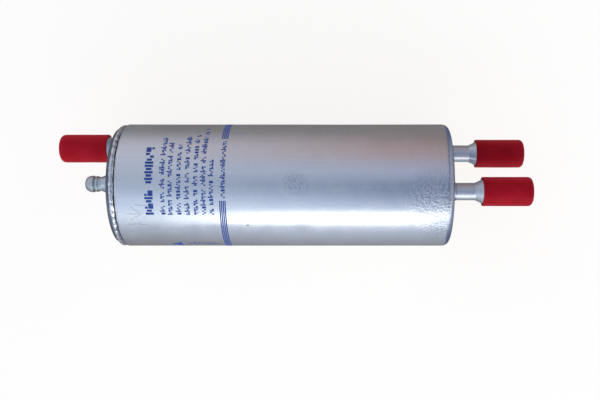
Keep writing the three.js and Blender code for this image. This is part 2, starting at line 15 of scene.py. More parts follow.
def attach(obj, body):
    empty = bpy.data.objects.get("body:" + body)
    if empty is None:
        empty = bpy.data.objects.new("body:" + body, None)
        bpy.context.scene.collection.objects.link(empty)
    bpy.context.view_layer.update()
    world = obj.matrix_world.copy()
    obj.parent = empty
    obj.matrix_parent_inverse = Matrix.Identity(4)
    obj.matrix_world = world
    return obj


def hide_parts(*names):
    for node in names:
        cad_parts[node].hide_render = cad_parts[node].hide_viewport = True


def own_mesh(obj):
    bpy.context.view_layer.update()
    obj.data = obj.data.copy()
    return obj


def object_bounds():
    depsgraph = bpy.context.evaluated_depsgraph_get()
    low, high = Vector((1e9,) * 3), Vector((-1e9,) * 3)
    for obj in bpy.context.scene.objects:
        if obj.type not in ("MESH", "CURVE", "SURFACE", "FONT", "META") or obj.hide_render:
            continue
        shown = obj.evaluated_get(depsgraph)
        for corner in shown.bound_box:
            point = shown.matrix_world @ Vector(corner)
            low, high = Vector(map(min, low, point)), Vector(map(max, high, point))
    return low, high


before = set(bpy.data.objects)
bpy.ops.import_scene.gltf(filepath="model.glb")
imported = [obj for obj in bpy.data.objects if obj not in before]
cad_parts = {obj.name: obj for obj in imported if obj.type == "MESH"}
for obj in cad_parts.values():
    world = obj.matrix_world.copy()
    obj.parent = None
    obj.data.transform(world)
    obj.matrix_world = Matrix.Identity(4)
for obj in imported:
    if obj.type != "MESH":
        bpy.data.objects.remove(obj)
CAD_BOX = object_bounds()

MM = 0.001

# ---- Shapes ----

CAN = {
    "skin": 28.94,
    "bore": 27.8,
    "open": -73.5,
    "closed": 77.7,
    "floor": 77.3,
    "inner_end": 75.8,
    "shoulder": 3,
    "inner_corner": 2,
    "recess": 22.8,
    "edge": 0.35,
    "segments": 256,
    "step": 0.9,
}
WAVES = {"depth": 0.16, "length": 26, "stretch": 2.2}
# Handling marks: where each lies on the can, how far it reaches, how deep it is
# and how long its ripples are.
DENTS = [
    {"x": 68, "angle": -16, "reach": 13, "depth": 0.12, "length": 4.2},
    {"x": 70, "angle": -40, "reach": 10, "depth": 0.12, "length": 3.6},
    {"x": 6.5, "angle": 1, "reach": 5, "depth": 0.14, "length": 3},
    {"x": 9, "angle": -49, "reach": 6, "depth": 0.2, "length": 9},
    {"x": -63, "angle": -22, "reach": 8, "depth": 0.1, "length": 5},
    {"x": 40, "angle": 118, "reach": 9, "depth": 0.16, "length": 7},
    {"x": -20, "angle": -140, "reach": 10, "depth": 0.16, "length": 8},
]

LID = {
    "rim_end": -77.7,
    "rim_radius": 27.2,
    "face_radius": 25.2,
    "face": -76.9,
    "shelf": -76.5,
    "spigot": 27.5,
    "spigot_end": -68,
    "sheet": 1.5,
}
BEAD = {
    "middle": -75.17,
    "half_width": 1.65,
    "base": 27.15,
    "height": 1.79,
    "scales": 46,
    "steps_per_scale": 20,
    "steps_across": 14,
    "wander": 0.14,
    "slant": 0.35,
}

PORTS = {
    "inlet": (15.8, -16.4),
    "return": (15.2, 101.3),
    "outlet": (18.05, -12.8),
    "reference": (17, 88.3),
}
STUB = {
    "radius": 4,
    "bore": 2.5,
    "inside": 5.3,
    "cone": 3.4,
    "land": 3,
    "land_radius": 5.6,
    "barb_root": 4.1,
    "barb_peak": 4.7,
    "barb_face": 0.2,
    "barb_length": 3,
    "barb_pitch": 6,
    "barbs": 2,
    "barb_start": 5,
    "beyond_cone": 20.3,
    "tip_chamfer": 0.6,
}
NECKS = {"inlet": 11, "return": 11, "outlet": 4.4}
NIPPLE = {
    "inside": 3.4,
    "bore": 1.4,
    "spigot": 2,
    "passage": 3,
    "shank": 3.25,
    "ring_start": 6.6,
    "ring": 3.6,
    "ring_end": 7.6,
    "groove_start": 7.9,
    "groove": 3.1,
    "groove_end": 8.15,
    "nose_start": 8.55,
    "nose": 3.8,
    "nose_flat": 0.5,
    "mouth": 1.75,
    "tip": 12.27,
}
COLLAR = {"base": 6.6, "height": 2.2, "hollow": 1, "neck": 4}
NIPPLE_COLLAR = {"base": 6, "height": 4.6, "hollow": 0.25, "neck": 3.25}
CAP = {
    "radius": 6.76,
    "length": 23.3,
    "bore": 5.75,
    "depth": 21.8,
    "overlap": 0.2,
    "tip_round": 2,
    "dome": 0.4,
    "lead_in": 0.3,
    "skin_dip": 0.1,
    "rim_dip": 0.22,
    "rim_reach": 1.5,
}
TOE_DIP = 0.35
GAP = 0.1
HOLE_GAP = 0.3
CREASE = 32

LIFT = 1
REGULATOR_SPRING = {"start": -57.2, "end": -47.5, "radius": 6.4, "wire": 1.1, "turns": 4, "dead": 1.45}
HOLD_SPRING = {"start": 44.5, "end": 75.5, "radius": 23.6, "wire": 1.6, "turns": 4, "dead": 2.2}
DIAPHRAGM = {"rim": -47, "thick": 0.8, "hole": 2.9, "flat": 8.6, "clamp": 12.2, "radius": 15.9, "roll": 1.5}

# ---- Helpers for meshes ----


def rounded(corners, steps=5):
    """A profile from (x, radius, fillet) corners, with an arc in place of each corner that has a fillet."""
    points = []
    for i, (x, radius, fillet) in enumerate(corners):
        here = Vector((x, radius))
        if fillet == 0:
            points.append(tuple(here))
            continue
        before = (here - Vector(corners[i - 1][:2])).normalized()
        after = (Vector(corners[(i + 1) % len(corners)][:2]) - here).normalized()
        turn = math.atan2(before.x * after.y - before.y * after.x, before.dot(after))
        start = here - before * fillet * math.tan(abs(turn) / 2)
        spoke = Vector((before.y, -before.x)) * math.copysign(fillet, turn)
        centre = start - spoke
        for k in range(steps + 1):
            swing = turn * k / steps
            cos, sin = math.cos(swing), math.sin(swing)
            px = centre.x + spoke.x * cos - spoke.y * sin
            pr = centre.y + spoke.x * sin + spoke.y * cos
            points.append((px, pr))
    return points


def divided(profile, step):
    """The same profile with extra points, so that no straight stretch is longer than step."""
    points = [profile[0]]
    for (x0, r0), (x1, r1) in zip(profile, profile[1:]):
        count = max(1, math.ceil(math.hypot(x1 - x0, r1 - r0) / step))
        points += [(x0 + (x1 - x0) * k / count, r0 + (r1 - r0) * k / count) for k in range(1, count + 1)]
    return points


def turned(profile, segments, shape=None):
    """Points and faces of a solid turned about X.

    It closes on the axis, or on itself if it stays off the axis. shape(x, angle, radius) may return
    another x and radius for each point."""
    on_axis = profile[0][1] == 0
    rings = profile[1:-1] if on_axis else profile
    points = []
    for x, radius in rings:
        for k in range(segments):
            angle = 2 * math.pi * k / segments
            px, pr = shape(x, angle, radius) if shape else (x, radius)
            points.append((px, pr * math.sin(angle), pr * math.cos(angle)))
    faces = []
    last = len(rings) - 1 if on_axis else len(rings)
    for i in range(last):
        near, far = i * segments, (i + 1) % len(rings) * segments
        for k in range(segments):
            after = (k + 1) % segments
            faces.append((near + k, near + after, far + after, far + k))
    if on_axis:
        for x, first in ((profile[0][0], 0), (profile[-1][0], (len(rings) - 1) * segments)):
            points.append((x, 0, 0))
            faces += [(len(points) - 1, first + k, first + (k + 1) % segments) for k in range(segments)]
    return points, faces


def swept(path, radius, sides):
    """Points and faces of a round wire along a path that winds round X."""
    points = []
    for i, here in enumerate(path):
        along = (path[min(i + 1, len(path) - 1)] - path[max(i - 1, 0)]).normalized()
        out = Vector((0, here.y, here.z)).normalized()
        across = along.cross(out).normalized()
        out = across.cross(along)
        for k in range(sides):
            angle = 2 * math.pi * k / sides
            points.append(here + radius * (out * math.cos(angle) + across * math.sin(angle)))
    faces = [tuple(range(sides)), tuple(range(len(points) - sides, len(points)))]
    for i in range(len(path) - 1):
        near, far = i * sides, (i + 1) * sides
        for k in range(sides):
            after = (k + 1) % sides
            faces.append((near + k, near + after, far + after, far + k))
    return points, faces


def port_centre(port):
    radius, angle = port
    return radius * math.cos(math.radians(angle)), radius * math.sin(math.radians(angle))


def finish_mesh(mesh, crease):
    """Turns every face outwards, and shades the mesh smooth except at edges sharper than crease."""
    work = bmesh.new()
    work.from_mesh(mesh)
    bmesh.ops.recalc_face_normals(work, faces=work.faces)
    work.to_mesh(mesh)
    work.free()
    mesh.shade_smooth()
    mesh.set_sharp_from_angle(angle=math.radians(crease))


def add_piece(name, solid, material, body="canister", replaces=(), crease=CREASE):
    """A mesh object in the row frame, from points in millimetres."""
    points, faces = solid
    mesh = bpy.data.meshes.new(name)
    mesh.from_pydata([tuple(c * MM for c in p) for p in points], [], faces)
    finish_mesh(mesh, crease)
    mesh.materials.append(material)
    piece = bpy.data.objects.new(name, mesh)
    bpy.context.scene.collection.objects.link(piece)
    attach(piece, body)
    if replaces:
        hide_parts(*replaces)
    return piece


def moved(solid, x=0, port=None, flip=False):
    """The solid at station x and on a port's line. flip turns it to point along -X."""
    points, faces = solid
    y, z = port_centre(port) if port else (0, 0)
    sign = -1 if flip else 1
    return [(x + sign * p[0], y + sign * p[1], z + p[2]) for p in points], faces


def drill(piece, holes):
    """Cuts round holes along X through a piece. Each hole is (port, radius, start, end)."""
    for port, radius, start, end in holes:
        rod = turned([(start, 0), (start, radius), (end, radius), (end, 0)], 64)
        points, faces = moved(rod, port=port)
        mesh = bpy.data.meshes.new("cutter")
        mesh.from_pydata([tuple(c * MM for c in p) for p in points], [], faces)
        finish_mesh(mesh, CREASE)
        cutter = bpy.data.objects.new("cutter", mesh)
        bpy.context.scene.collection.objects.link(cutter)
        cut = piece.modifiers.new("hole", "BOOLEAN")
        cut.operation = "DIFFERENCE"
        cut.solver = "EXACT"
        cut.object = cutter
        depsgraph = bpy.context.evaluated_depsgraph_get()
        piece.data = bpy.data.meshes.new_from_object(piece.evaluated_get(depsgraph))
        piece.modifiers.clear()
        bpy.data.objects.remove(cutter)
    piece.data.set_sharp_from_angle(angle=math.radians(CREASE))


# ---- Helpers for materials ----


def add_node(tree, kind, inputs=None, **settings):
    """A node with its settings and inputs. An input is a plain value or another node's output."""
    made = tree.nodes.new(kind)
    for key, value in settings.items():
        setattr(made, key, value)
    for key, value in (inputs or {}).items():
        if isinstance(value, bpy.types.NodeSocket):
            tree.links.new(value, made.inputs[key])
        else:
            made.inputs[key].default_value = value
    return made


def new_material(name, **sockets):
    """A material with one Principled shader, and the values of its sockets that are the same all over."""
    material = bpy.data.materials.new(name)
    material.use_nodes = True
    shader = material.node_tree.nodes["Principled BSDF"]
    for key, value in sockets.items():
        shader.inputs[key.replace("_", " ")].default_value = value
    return material, material.node_tree, shader


def object_place(tree):
    return add_node(tree, "ShaderNodeTexCoord").outputs["Object"]


def grain(tree, scale, detail=3, roughness=0.55, distortion=0):
    """A noise between 0 and 1. scale is in cells per metre, one number or one for each axis."""
    scale = scale if isinstance(scale, tuple) else (scale,) * 3
    place = add_node(tree, "ShaderNodeMapping", {"Vector": object_place(tree), "Scale": scale})
    inputs = {
        "Vector": place.outputs["Vector"],
        "Scale": 1,
        "Detail": detail,
        "Roughness": roughness,
        "Distortion": distortion,
    }
    return add_node(tree, "ShaderNodeTexNoise", inputs).outputs["Fac"]


def span(tree, value, low, high, to_low, to_high):
    """value carried from the range low to high onto the range to_low to to_high."""
    inputs = {"Value": value, "From Min": low, "From Max": high, "To Min": to_low, "To Max": to_high}
    return add_node(tree, "ShaderNodeMapRange", inputs).outputs["Result"]


def spread(tree, noise_value, to_low, to_high):
    """A noise carried onto the range to_low to to_high, from the middle range where most of it lies."""
    return span(tree, noise_value, 0.3, 0.7, to_low, to_high)


def combine(tree, operation, a, b=0):
    made = add_node(tree, "ShaderNodeMath", operation=operation)
    for socket, value in zip(made.inputs, (a, b)):
        if isinstance(value, bpy.types.NodeSocket):
            tree.links.new(value, socket)
        else:
            socket.default_value = value
    return made.outputs["Value"]


def blend_colour(tree, factor, a, b):
    made = add_node(tree, "ShaderNodeMix", data_type="RGBA")
    for key, value in (("Factor_Float", factor), ("A_Color", a), ("B_Color", b)):
        socket = next(s for s in made.inputs if s.identifier == key)
        if isinstance(value, bpy.types.NodeSocket):
            tree.links.new(value, socket)
        else:
            socket.default_value = value if key == "Factor_Float" else (*value, 1)
    return next(s for s in made.outputs if s.identifier == "Result_Color")


def near_spot(tree, spot, reach):
    """1 at a spot in millimetres, falling to 0 at reach away from it."""
    inputs = {0: object_place(tree), 1: tuple(c * MM for c in spot)}
    away = add_node(tree, "ShaderNodeVectorMath", inputs, operation="DISTANCE").outputs["Value"]
    return span(tree, away, 0, reach * MM, 1, 0)


def axis_distance(tree):
    """Distance in metres from the can's axis."""
    kind = "ShaderNodeVectorMath"
    flat = add_node(tree, kind, {0: object_place(tree), 1: (0, 1, 1)}, operation="MULTIPLY")
    return add_node(tree, kind, {0: flat.outputs["Vector"]}, operation="LENGTH").outputs["Value"]


def station(tree):
    """Place along the can in metres."""
    return add_node(tree, "ShaderNodeSeparateXYZ", {"Vector": object_place(tree)}).outputs["X"]


def add_bump(tree, shader, layers):
    """Adds bump to a shader, from (height, depth in millimetres) layers."""
    normal = None
    for height, depth in layers:
        inputs = {"Height": height, "Distance": depth * MM, "Strength": 1}
        if normal:
            inputs["Normal"] = normal
        normal = add_node(tree, "ShaderNodeBump", inputs).outputs["Normal"]
    tree.links.new(normal, shader.inputs["Normal"])


def dress(tree, shader, colour, roughness, layers):
    """Joins a colour, a roughness and layers of bump to a shader."""
    tree.links.new(colour, shader.inputs["Base Color"])
    tree.links.new(roughness, shader.inputs["Roughness"])
    add_bump(tree, shader, layers)


# ---- Materials ----


def on_skin(x, angle):
    """A point on the can's skin, in millimetres."""
    turn = math.radians(angle)
    return (x, CAN["skin"] * math.sin(turn), CAN["skin"] * math.cos(turn))


def can_aluminium():
    """Drawn aluminium: fine lines along the can, a cloudy finish, the marks of handling, soot and painted
    shade beside the weld, and a painted bluish shade on the closed end's shoulder.
    """
    material, tree, shader = new_material("drawn_aluminium", Metallic=1.0)
    lines = grain(tree, (9, 2600, 2600), detail=3)
    streaks = grain(tree, (14, 420, 420), detail=4)
    cloud = grain(tree, 95, detail=5, roughness=0.6)
    pits = grain(tree, 1500, detail=2)
    mottle = grain(tree, 950, detail=2, distortion=0.3)
    upper_mark = near_spot(tree, on_skin(69, -14), 17)
    end_marks = combine(tree, "MAXIMUM", upper_mark, near_spot(tree, on_skin(72, -38), 13))
    small_marks = combine(tree, "MULTIPLY", near_spot(tree, on_skin(6.5, 1), 7), 0.8)
    handled = span(tree, combine(tree, "MAXIMUM", end_marks, small_marks), 0, 0.8, 0, 1)
    spots = combine(tree, "MULTIPLY", span(tree, mottle, 0.44, 0.58, 0.3, 1), handled)

    # Soot and painted shade: the can is painted darker next to the weld bead, in the groove where it meets
    # the bead.
    near_weld = span(tree, station(tree), -0.0708, -0.0735, 0, 1)
    weld_soot_and_shade = combine(tree, "MULTIPLY", near_weld, grain(tree, 330, detail=3))
    stain = span(tree, near_spot(tree, on_skin(-15, -39), 0.8), 0, 0.5, 0, 1)

    cloud_part = combine(tree, "MULTIPLY", cloud, 0.6)
    tone = combine(tree, "ADD", cloud_part, combine(tree, "MULTIPLY", streaks, 0.4))
    tint = blend_colour(tree, spread(tree, tone, 0, 1), (0.82, 0.835, 0.86), (0.92, 0.925, 0.93))
    tint = blend_colour(tree, combine(tree, "MULTIPLY", spots, 0.75), tint, (0.46, 0.52, 0.61))
    tint = blend_colour(tree, span(tree, weld_soot_and_shade, 0.3, 0.6, 0, 0.55), tint, (0.42, 0.40, 0.41))
    tint = blend_colour(tree, combine(tree, "MULTIPLY", stain, 0.7), tint, (0.25, 0.27, 0.32))
    # Painted shade: a bluish dark band on the rounded shoulder at the closed end.
    shoulder = span(tree, station(tree), 0.0750, 0.0764, 0, 0.85)
    tint = blend_colour(tree, shoulder, tint, (0.40, 0.48, 0.66))

    rough = combine(tree, "ADD", spread(tree, cloud, 0.2, 0.3), spread(tree, lines, -0.02, 0.04))
    rough = combine(tree, "ADD", rough, combine(tree, "MULTIPLY", handled, 0.1))

    deep = combine(tree, "MULTIPLY", mottle, handled)
    layers = [(deep, 0.22), (lines, 0.003), (streaks, 0.01), (cloud, 0.03), (pits, 0.003)]
    dress(tree, shader, tint, rough, layers)
    return material


def lid_aluminium():
    """Pressed aluminium sheet, duller than the can, with soot and painted shade darkening the rim beside
    the weld.
    """
    material, tree, shader = new_material("pressed_aluminium", Metallic=1.0)
    cloud = grain(tree, 160, detail=5)
    fine = grain(tree, 1800, detail=3)
    tint = blend_colour(tree, spread(tree, cloud, 0, 1), (0.72, 0.74, 0.77), (0.88, 0.89, 0.9))
    # Soot and painted shade: the outer edge of the rim, beside the weld bead, is painted dark.
    outer = span(tree, axis_distance(tree), 0.0266, 0.0271, 0, 1)
    tint = blend_colour(tree, outer, tint, (0.19, 0.21, 0.235))
    dress(tree, shader, tint, spread(tree, fine, 0.28, 0.42), [(cloud, 0.05), (fine, 0.006)])
    return material


def weld_metal():
    """Weld bead: bright on its crown, with soot and painted shade along both toes."""
    material, tree, shader = new_material("weld_metal", Metallic=1.0)
    blotch = grain(tree, 340, detail=4)
    fine = grain(tree, 2600, detail=3)
    lumps = grain(tree, 520, detail=3, distortion=0.5)
    tint = blend_colour(tree, span(tree, lumps, 0.42, 0.56, 0, 1), (0.60, 0.65, 0.70), (0.98, 0.98, 0.99))
    # Soot and painted shade: the bead is painted dark low down, where its toes meet the can and the lid.
    crown = combine(tree, "ADD", axis_distance(tree), spread(tree, lumps, -0.3 * MM, 0.3 * MM))
    tint = blend_colour(tree, span(tree, crown, 0.0276, 0.0282, 0.8, 0), tint, (0.20, 0.22, 0.25))
    layers = [(blotch, 0.12), (lumps, 0.12), (fine, 0.01)]
    dress(tree, shader, tint, spread(tree, blotch, 0.34, 0.16), layers)
    return material


def collar_metal():
    """Brazed fillet round a neck: grey, satin and slightly lumpy."""
    material, tree, shader = new_material("collar_metal", Metallic=1.0)
    blotch = grain(tree, 420, detail=4)
    tint = blend_colour(tree, span(tree, blotch, 0.35, 0.65, 0, 1), (0.55, 0.58, 0.62), (0.84, 0.85, 0.87))
    dress(tree, shader, tint, spread(tree, blotch, 0.4, 0.25), [(blotch, 0.1)])
    return material


def stub_metal():
    """Machined tube: bright, with the fine rings that a turning tool leaves."""
    material, tree, shader = new_material("machined_tube", Metallic=1.0)
    rings = grain(tree, (5200, 40, 40), detail=3)
    smear = grain(tree, (60, 700, 700), detail=3)
    tint = blend_colour(tree, spread(tree, smear, 0, 1), (0.66, 0.68, 0.71), (0.84, 0.85, 0.87))
    dress(tree, shader, tint, spread(tree, smear, 0.34, 0.46), [(rings, 0.004), (smear, 0.02)])
    return material


def nipple_metal():
    """Cast nipple: greyish, satin and faintly pitted, and darker in its groove."""
    material, tree, shader = new_material("cast_nipple", Metallic=1.0)
    cloud = grain(tree, 420, detail=4)
    pits = grain(tree, 1700, detail=2)
    tint = blend_colour(tree, span(tree, cloud, 0.35, 0.65, 0, 1), (0.50, 0.56, 0.55), (0.72, 0.76, 0.75))
    # Darker in the groove: the colour is darkened within half a millimetre of it.
    groove = -0.0849
    away = combine(tree, "ABSOLUTE", combine(tree, "SUBTRACT", station(tree), groove))
    tint = blend_colour(tree, span(tree, away, 0.0001, 0.0005, 0.4, 0), tint, (0.14, 0.16, 0.17))
    dress(tree, shader, tint, spread(tree, cloud, 0.3, 0.44), [(cloud, 0.08), (pits, 0.01)])
    return material


def red_cap(name, strength):
    """Dipped red vinyl: a soft skin with a satin gloss, cloudy marks and a few pale scuffs."""
    material, tree, shader = new_material(name, IOR=1.5, Specular_IOR_Level=0.07)
    cloud = grain(tree, 130, detail=4)
    skin = grain(tree, 1300, detail=2)
    ripple = grain(tree, (120, 420, 420), detail=2)
    rub = grain(tree, (500, 1500, 1500), detail=4, distortion=1)
    # strength darkens the whole colour: painted light and shade that sets one cap against another.
    deep = tuple(strength * c for c in (0.53, 0.007, 0.017))
    clear = tuple(strength * c for c in (0.66, 0.013, 0.030))
    tint = blend_colour(tree, spread(tree, cloud, 0, 1), deep, clear)
    tint = blend_colour(tree, span(tree, rub, 0.66, 0.8, 0, 0.35), tint, (0.66, 0.06, 0.07))
    dress(tree, shader, tint, spread(tree, cloud, 0.32, 0.46), [(ripple, 0.12), (skin, 0.02)])
    return material


def scuff_marks():
    """The dull grey bottom of a scratch."""
    material, tree, shader = new_material("scuff_grey", Metallic=0.7)
    cloud = grain(tree, 1200, detail=3)
    tint = blend_colour(tree, spread(tree, cloud, 0, 1), (0.20, 0.22, 0.25), (0.50, 0.53, 0.57))
    dress(tree, shader, tint, spread(tree, cloud, 0.4, 0.6), [(cloud, 0.01)])
    return material


def print_ink():
    """Blue screen ink, a little uneven in strength."""
    material, tree, shader = new_material("blue_ink", IOR=1.48, Specular_IOR_Level=0.15)
    strength = grain(tree, 900, detail=4)
    tint = blend_colour(tree, spread(tree, strength, 0, 1), (0.03, 0.075, 0.34), (0.07, 0.15, 0.48))
    dress(tree, shader, tint, spread(tree, strength, 0.5, 0.7), [(strength, 0.01)])
    return material


def filter_paper():
    """Resin-treated filter paper with visible fibres."""
    material, tree, shader = new_material("filter_paper", IOR=1.45)
    fibres = grain(tree, (900, 2600, 2600), detail=5, distortion=1.5)
    cloud = grain(tree, 200, detail=3)
    tint = blend_colour(tree, spread(tree, cloud, 0, 1), (0.62, 0.40, 0.13), (0.78, 0.56, 0.24))
    tint = blend_colour(tree, span(tree, fibres, 0.5, 0.7, 0, 0.4), tint, (0.9, 0.74, 0.42))
    dress(tree, shader, tint, spread(tree, fibres, 0.75, 0.95), [(fibres, 0.04)])
    return material


def plated(name, dull, bright, roughness):
    """Sheet metal or wire with a cloudy plated finish."""
    material, tree, shader = new_material(name, Metallic=1.0)
    cloud = grain(tree, 240, detail=5)
    fine = grain(tree, 2200, detail=2)
    tint = blend_colour(tree, spread(tree, cloud, 0, 1), dull, bright)
    dress(tree, shader, tint, spread(tree, cloud, *roughness), [(fine, 0.006)])
    return material


def rubber(name, dark, pale):
    """Moulded rubber with a faint bloom."""
    material, tree, shader = new_material(name, IOR=1.5)
    bloom = grain(tree, 260, detail=4)
    fine = grain(tree, 2400, detail=2)
    tint = blend_colour(tree, span(tree, bloom, 0.35, 0.7, 0, 1), dark, pale)
    dress(tree, shader, tint, spread(tree, bloom, 0.55, 0.8), [(fine, 0.01)])
    return material


FINISHES = {
    "can_aluminium": can_aluminium(),
    "weld_metal": weld_metal(),
    "stub_metal": stub_metal(),
    "filter_paper": filter_paper(),
    "tinned_steel": plated("tinned_steel", (0.52, 0.53, 0.54), (0.70, 0.71, 0.72), (0.25, 0.42)),
    "zinc_steel": plated("zinc_steel", (0.55, 0.50, 0.33), (0.74, 0.68, 0.50), (0.28, 0.42)),
    "spring_steel": plated("spring_steel", (0.22, 0.23, 0.25), (0.36, 0.37, 0.39), (0.28, 0.4)),
    "brass": plated("brass", (0.62, 0.44, 0.16), (0.80, 0.60, 0.26), (0.22, 0.34)),
    "black_rubber": rubber("black_rubber", (0.012, 0.012, 0.013), (0.03, 0.03, 0.032)),
    "seal_rubber": rubber("seal_rubber", (0.02, 0.035, 0.022), (0.04, 0.06, 0.045)),
}
LID_FINISH = lid_aluminium()
COLLAR_FINISH = collar_metal()
NIPPLE_FINISH = nipple_metal()
# Painted light and shade: the three caps are lit and shaded copies of one vinyl, the inlet cap darkest and
# the outlet cap brightest.
CAP_FINISHES = {
    "inlet": red_cap("red_vinyl_painted_shade", 0.75),
    "return": red_cap("red_vinyl", 0.88),
    "outlet": red_cap("red_vinyl_painted_light", 1),
}
INK = print_ink()
SCUFF = scuff_marks()

# ---- Can, lid and seam ----


def patch_weight(x, angle, patch):
    """1 at the middle of a patch on the can, falling smoothly to 0 at its reach."""
    swing = (angle - math.radians(patch["angle"]) + math.pi) % (2 * math.pi) - math.pi
    away = math.hypot(x - patch["x"], swing * CAN["skin"]) / patch["reach"]
    share = max(0, 1 - away)
    return share * share * (3 - 2 * share)


def skin_radius(x, angle):
    """Radius of the can's skin, never outside a true cylinder: long soft waves and handling marks."""
    place = Vector((x, CAN["skin"] * math.sin(angle), CAN["skin"] * math.cos(angle)))
    long_place = Vector((place.x / WAVES["stretch"], place.y, place.z)) / WAVES["length"]
    depth = WAVES["depth"] * (0.5 + 0.5 * noise.noise(long_place))
    for patch in DENTS:
        weight = patch_weight(x, angle, patch)
        if weight > 0:
            depth += patch["depth"] * weight * (0.5 + 0.5 * noise.noise(place / patch["length"]))
    return CAN["skin"] - depth


def can_solid():
    profile = rounded(
        [
            (CAN["inner_end"], 0, 0),
            (CAN["inner_end"], CAN["bore"], CAN["inner_corner"]),
            (CAN["open"], CAN["bore"], CAN["edge"]),
            (CAN["open"], CAN["skin"], CAN["edge"]),
            (CAN["closed"], CAN["skin"], CAN["shoulder"]),
            (CAN["closed"], CAN["recess"] + 0.4, 0.3),
            (CAN["floor"], CAN["recess"], 0.2),
            (CAN["floor"], 0, 0),
        ],
        steps=8,
    )
    wall = CAN["bore"] + 0.5

    def shape(x, angle, radius):
        if radius < wall:
            return x, radius
        return x, radius + skin_radius(x, angle) - CAN["skin"]

    outer = [(x, r) for x, r in profile if r > wall]
    start = profile.index(outer[0])
    fine = divided(outer, CAN["step"])
    return turned(profile[:start] + fine + profile[start + len(outer):], CAN["segments"], shape)


def lid_solid():
    inner = LID["face"] + LID["sheet"]
    profile = rounded(
        [
            (LID["face"], 0, 0),
            (LID["face"], LID["face_radius"], 0.5),
            (LID["rim_end"], LID["face_radius"] + 0.5, 0.35),
            (LID["rim_end"], LID["rim_radius"], 0.4),
            (LID["shelf"], LID["rim_radius"], 0),
            (LID["shelf"], LID["spigot"], 0.1),
            (LID["spigot_end"], LID["spigot"], 0.3),
            (LID["spigot_end"], LID["spigot"] - LID["sheet"], 0.3),
            (inner, LID["spigot"] - LID["sheet"], 1),
            (inner, 0, 0),
        ]
    )
    return turned(profile, 192)


def bead_solid():
    """Overlapping scales of weld, each a little different in height, width and length."""
    chance = random.Random(11)
    scales = BEAD["scales"]
    heights = [chance.uniform(0.74, 1) for _ in range(scales)]
    widths = [chance.uniform(0.8, 1) for _ in range(scales)]
    shifts = [chance.uniform(-BEAD["wander"], BEAD["wander"]) for _ in range(scales)]
    across = BEAD["steps_across"]
    arch = [math.pi * k / across for k in range(across + 1)]
    profile = [(-math.cos(t), math.sin(t)) for t in arch]

    def shape(x, angle, height):
        turn = angle / (2 * math.pi) * scales + BEAD["slant"] * x * x
        index = int(turn) % scales
        part = turn % 1
        nearby = (index + 1) % scales
        ease = part * part * (3 - 2 * part)
        tall = heights[index] * (1 - ease) + heights[nearby] * ease
        wide = widths[index] * (1 - ease) + widths[nearby] * ease
        shift = shifts[index] * (1 - ease) + shifts[nearby] * ease
        scale = math.sqrt(max(0, 1 - (2 * part - 1) ** 2))
        reach = (BEAD["half_width"] - BEAD["wander"]) * wide * (0.9 + 0.1 * scale)
        rise = BEAD["height"] * tall * (0.8 + 0.2 * scale) * height
        return BEAD["middle"] + reach * x + shift * (1 - abs(x)), BEAD["base"] + rise

    return turned(profile, scales * BEAD["steps_per_scale"], shape)


def add_can():
    finish = FINISHES["can_aluminium"]
    can = add_piece("can", can_solid(), finish, replaces=["can_shell"])
    hole = STUB["radius"] + HOLE_GAP
    reach = (CAN["inner_end"] - 1, CAN["closed"] + 1)
    drill(can, [(PORTS["inlet"], hole, *reach), (PORTS["return"], hole, *reach)])

    lid = add_piece("lid", lid_solid(), LID_FINISH, replaces=["end_lid"])
    reach = (LID["rim_end"] - 1, LID["face"] + LID["sheet"] + 1)
    nipple_hole = NIPPLE["passage"] + HOLE_GAP
    drill(lid, [(PORTS["outlet"], hole, *reach), (PORTS["reference"], nipple_hole, *reach)])

    add_piece(
        "seam_bead",
        bead_solid(),
        FINISHES["weld_metal"],
        replaces=["seam_weld_bead"],
        crease=50,
    )


# ---- Ports and caps ----


def stub_solid(neck):
    cone_end = neck + STUB["cone"]
    tip = cone_end + STUB["beyond_cone"]
    corners = [
        (-STUB["inside"], STUB["bore"], 0.2),
        (-STUB["inside"], STUB["radius"], 0.3),
        (neck, STUB["radius"], 1.2),
        (cone_end, STUB["land_radius"], 0.6),
        (cone_end + STUB["land"], STUB["land_radius"], 0.3),
        (cone_end + STUB["land"], STUB["barb_root"], 0.3),
    ]
    for i in range(STUB["barbs"]):
        start = cone_end + STUB["barb_start"] + i * STUB["barb_pitch"]
        corners.append((start, STUB["barb_root"], 0))
        corners.append((start + STUB["barb_face"], STUB["barb_peak"], 0.08))
        corners.append((start + STUB["barb_length"], STUB["barb_root"], 0.3))
    corners += [
        (tip - STUB["tip_chamfer"], STUB["barb_root"], 0.2),
        (tip, STUB["barb_root"] - STUB["tip_chamfer"], 0.2),
        (tip, STUB["bore"], 0.2),
    ]
    return turned(rounded(corners), 72)


